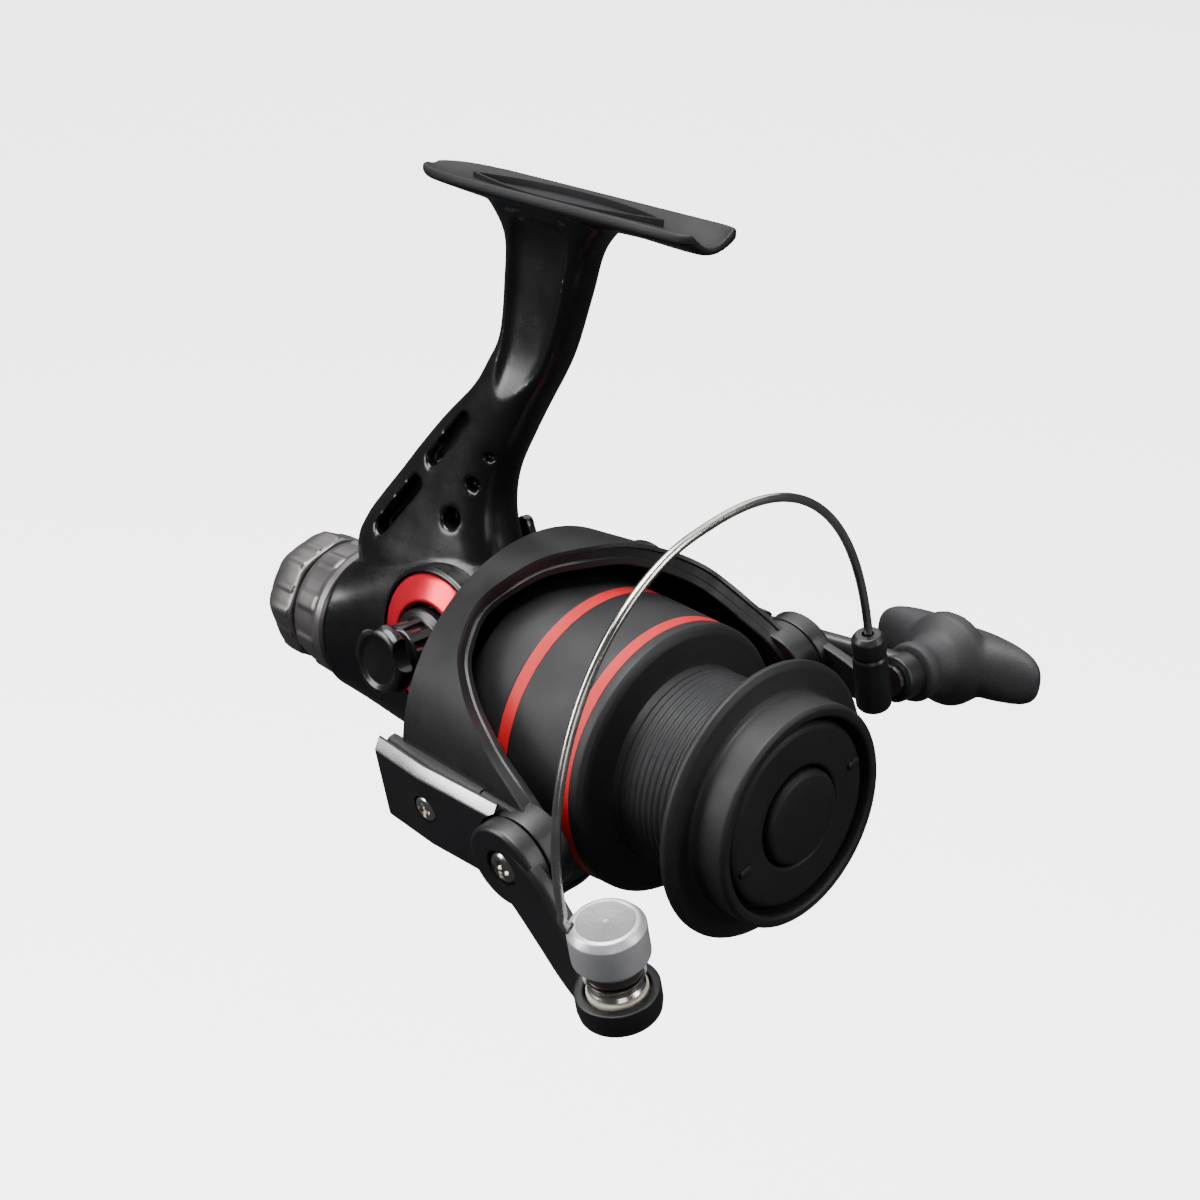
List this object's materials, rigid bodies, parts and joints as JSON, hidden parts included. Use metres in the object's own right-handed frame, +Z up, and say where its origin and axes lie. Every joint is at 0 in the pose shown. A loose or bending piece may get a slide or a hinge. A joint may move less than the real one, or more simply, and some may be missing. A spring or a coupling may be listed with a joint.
{
  "type": "spinning reel",
  "caption": "Open-face spinning reel with a rotor and bail arm, a fixed spool, a folding crank handle, a rear drag knob and a rod foot.",
  "frame": {"origin": "centre of the flat seat in the foot, where the rod rests", "axes": "+X forward along the spool axis past the spool, +Y to the handle side, +Z up into the rod"},
  "size_m": [0.1387, 0.1289, 0.1316],
  "materials": {
    "gloss_black": "gloss black moulding",
    "satin_black": "satin black moulding",
    "matte_black": "matte black graphite composite",
    "soft_grip": "soft-touch dark grey grip",
    "red_anodised": "red anodised",
    "grey_plastic": "satin grey moulding",
    "bright_steel": "nickel-bright steel",
    "silver": "satin silver",
    "brass": "machined brass",
    "zinc": "cast zinc alloy",
    "white_nylon": "natural nylon",
    "felt": "oiled felt"
  },
  "bodies": {
    "body": {"housing": "gloss_black", "side_cover": "gloss_black", "side_cover_screw_1": "bright_steel", "side_cover_screw_2": "bright_steel", "near_trim_ring": "red_anodised", "far_trim_ring": "red_anodised", "drive_bearing_near": "bright_steel", "drive_bearing_far": "bright_steel", "pinion_bearing": "bright_steel", "bearing_retainer": "zinc", "pinion_bush": "brass", "slider_guide_rod": "bright_steel", "oscillation_axle": "bright_steel", "rear_cover": "grey_plastic", "drag_washer_eared_1": "felt", "drag_washer_eared_2": "felt", "pawl_pin": "bright_steel"},
    "crank": {"drive_gear": "zinc", "handle_shaft": "bright_steel", "crank_hub": "gloss_black", "handle_hinge_pin": "bright_steel", "handle_lock_knob": "gloss_black"},
    "handle": {"handle_arm": "gloss_black", "knob_spindle": "bright_steel"},
    "knob": {"handle_knob": "soft_grip"},
    "rotor_group": {"rotor": "satin_black", "rotor_nut": "brass", "pinion": "brass", "anti_reverse_ratchet": "zinc", "arm_cover_near": "satin_black", "arm_cover_far": "satin_black", "cover_screw_near": "bright_steel", "cover_screw_far": "bright_steel", "pivot_screw_near": "bright_steel", "pivot_screw_far": "bright_steel", "bail_spring": "bright_steel"},
    "bail": {"bail_arm": "gloss_black", "bail_lever": "gloss_black", "bail_wire": "bright_steel", "bail_cap": "silver", "roller_screw": "bright_steel", "roller_bush": "white_nylon"},
    "roller": {"line_roller": "silver"},
    "oscillation": {"oscillation_gear": "white_nylon"},
    "slider_block": {"slider": "white_nylon"},
    "spool_group": {"spool": "matte_black", "spool_cap": "satin_black", "main_shaft": "bright_steel", "spool_washer": "white_nylon", "button_spring": "bright_steel"},
    "button": {"spool_button": "satin_black"},
    "drag_stack": {"drag_sleeve": "brass", "drag_washer_keyed_1": "bright_steel", "drag_washer_keyed_2": "bright_steel"},
    "drag_adjuster": {"drag_knob": "grey_plastic", "drag_spring": "bright_steel"},
    "lever": {"anti_reverse_lever": "gloss_black"},
    "pawl": {"anti_reverse_pawl": "zinc"}
  },
  "joints": [
    {"name": "crank_turn", "type": "hinge", "parent": "body", "child": "crank", "pos_m": [-0.0165, 0, -0.0877], "axis": [0, 1, 0], "continuous": true},
    {"name": "rotor_turn", "type": "hinge", "parent": "body", "child": "rotor_group", "pos_m": [0, 0, -0.0952], "axis": [1, 0, 0], "continuous": true},
    {"name": "oscillation_turn", "type": "hinge", "parent": "body", "child": "oscillation", "pos_m": [-0.031, 0, -0.0907], "axis": [0, 1, 0], "continuous": true},
    {"name": "slider_travel", "type": "slide", "parent": "body", "child": "slider_block", "axis": [1, 0, 0], "range_m": [0, 0.014]},
    {"name": "spool_turn", "type": "hinge", "parent": "slider_block", "child": "spool_group", "pos_m": [0, 0, -0.0952], "axis": [1, 0, 0], "continuous": true},
    {"name": "button_press", "type": "slide", "parent": "spool_group", "child": "button", "axis": [1, 0, 0], "range_m": [-0.0016, 0], "stiffness_N_per_m": 900},
    {"name": "bail_swing", "type": "hinge", "parent": "rotor_group", "child": "bail", "pos_m": [0.033, 0, -0.0952], "axis": [0, 0.9613, 0.2756], "range_deg": [0, 110]},
    {"name": "roller_turn", "type": "hinge", "parent": "bail", "child": "roller", "pos_m": [0.0595, -0.03675, -0.1165], "axis": [0, -0.2756, 0.9613], "continuous": true},
    {"name": "handle_fold", "type": "hinge", "parent": "crank", "child": "handle", "pos_m": [-0.012, 0.043, -0.0877], "axis": [0, 0, 1], "range_deg": [0, 85]},
    {"name": "knob_turn", "type": "hinge", "parent": "handle", "child": "knob", "pos_m": [0.0445, 0.058, -0.0907], "axis": [0, 1, 0], "continuous": true},
    {"name": "drag_knob_turn", "type": "hinge", "parent": "body", "child": "drag_adjuster", "pos_m": [-0.066, 0, -0.0952], "axis": [1, 0, 0], "range_deg": [-360, 360]},
    {"name": "drag_sleeve_turn", "type": "hinge", "parent": "body", "child": "drag_stack", "pos_m": [-0.055, 0, -0.0952], "axis": [1, 0, 0], "continuous": true},
    {"name": "anti_reverse_switch", "type": "hinge", "parent": "body", "child": "lever", "pos_m": [-0.016, 0.0096, -0.069], "axis": [0, 1, 0], "range_deg": [0, 40]},
    {"name": "pawl_lift", "type": "hinge", "parent": "body", "child": "pawl", "pos_m": [0.0094, 0.012, -0.0882], "axis": [1, 0, 0], "range_deg": [-8, 0]}
  ],
  "couplings": [
    {"joint": "rotor_turn", "follows": "crank_turn", "ratio": -4},
    {"joint": "oscillation_turn", "follows": "crank_turn", "ratio": -0.5},
    {"joint": "drag_sleeve_turn", "follows": "spool_turn", "ratio": 1},
    {"joint": "pawl_lift", "follows": "anti_reverse_switch", "ratio": -0.2}
  ]
}
